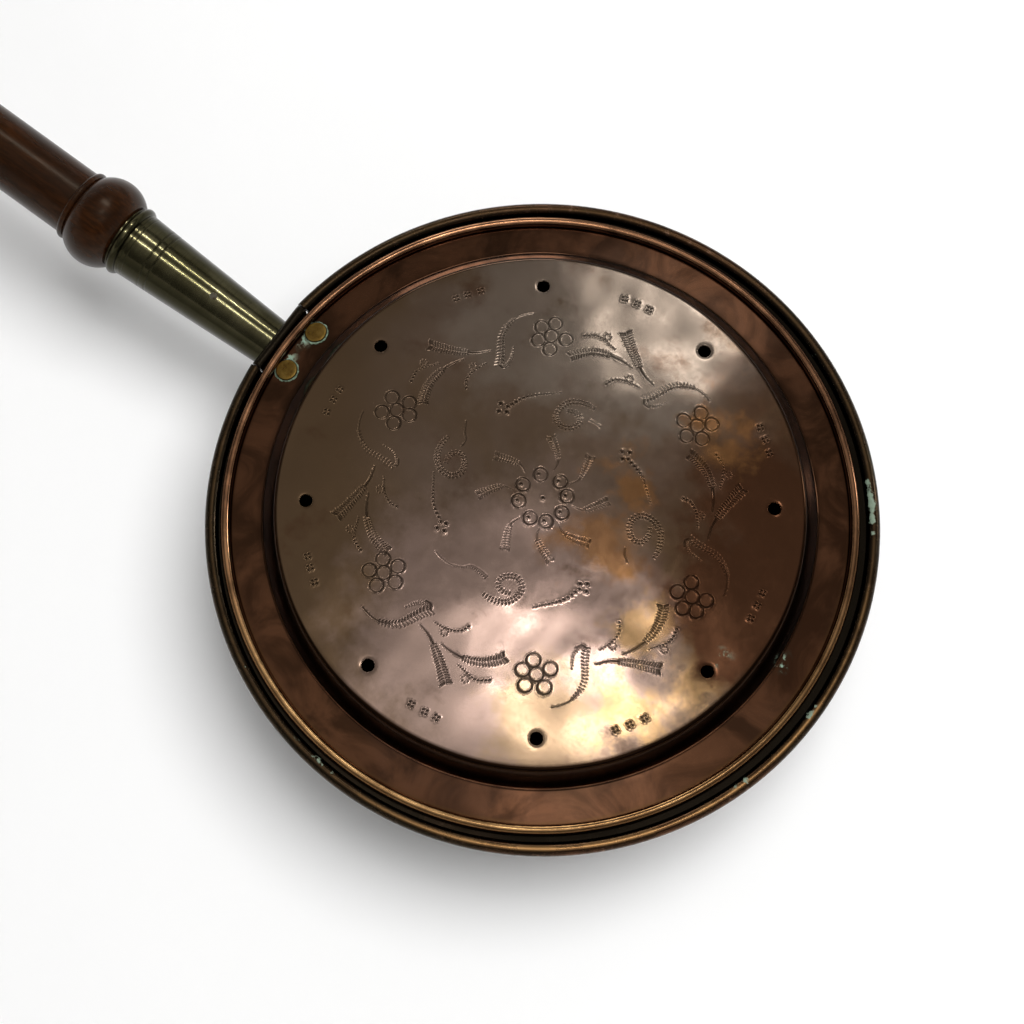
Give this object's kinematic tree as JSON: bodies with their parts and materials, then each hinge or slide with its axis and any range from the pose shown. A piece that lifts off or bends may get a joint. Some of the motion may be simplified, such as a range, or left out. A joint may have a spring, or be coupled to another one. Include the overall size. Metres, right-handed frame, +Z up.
{
  "type": "bed warming pan",
  "caption": "Round copper bed warming pan with a hinged, pierced and chased lid, a turned brass socket and a long turned wooden handle.",
  "frame": {"origin": "centre of the pan's flat underside", "axes": "+X towards the handle's end, which rises a little; +Y along the lid's hinge; +Z up, out of the pan's mouth"},
  "size_m": [1.0511, 0.3, 0.1844],
  "materials": {
    "pan_copper": "aged copper, rubbed bright on the rim",
    "lid_copper": "polished copper with brown patina and a chased pattern",
    "hinge_copper": "dull brown copper with green verdigris at the edges",
    "rim_iron": "drawn iron wire, dark",
    "socket_brass": "turned brass, dark olive, polished",
    "rivet_brass": "flat brass, dulled",
    "rivet_copper": "hammered copper",
    "pin_iron": "filed iron",
    "wood": "dark red-brown hardwood with an old gloss"
  },
  "bodies": {
    "pan": {"pan_bowl": "pan_copper", "pan_rim_wire": "rim_iron", "handle_socket": "socket_brass", "socket_rivet_1": "rivet_copper", "socket_rivet_2": "rivet_copper", "socket_rivet_3": "rivet_copper", "socket_rivet_4": "rivet_copper", "handle": "wood", "handle_pin": "pin_iron"},
    "lid": {"lid": "lid_copper", "lid_rim_wire": "rim_iron", "hinge_leaf": "hinge_copper", "lid_rivet_left": "rivet_brass", "lid_rivet_right": "rivet_brass"}
  },
  "joints": [
    {"name": "lid_hinge", "type": "hinge", "parent": "pan", "child": "lid", "pos_m": [0.14602, 0, 0.076], "axis": [0, 1, 0], "range_deg": [0, 155]}
  ]
}
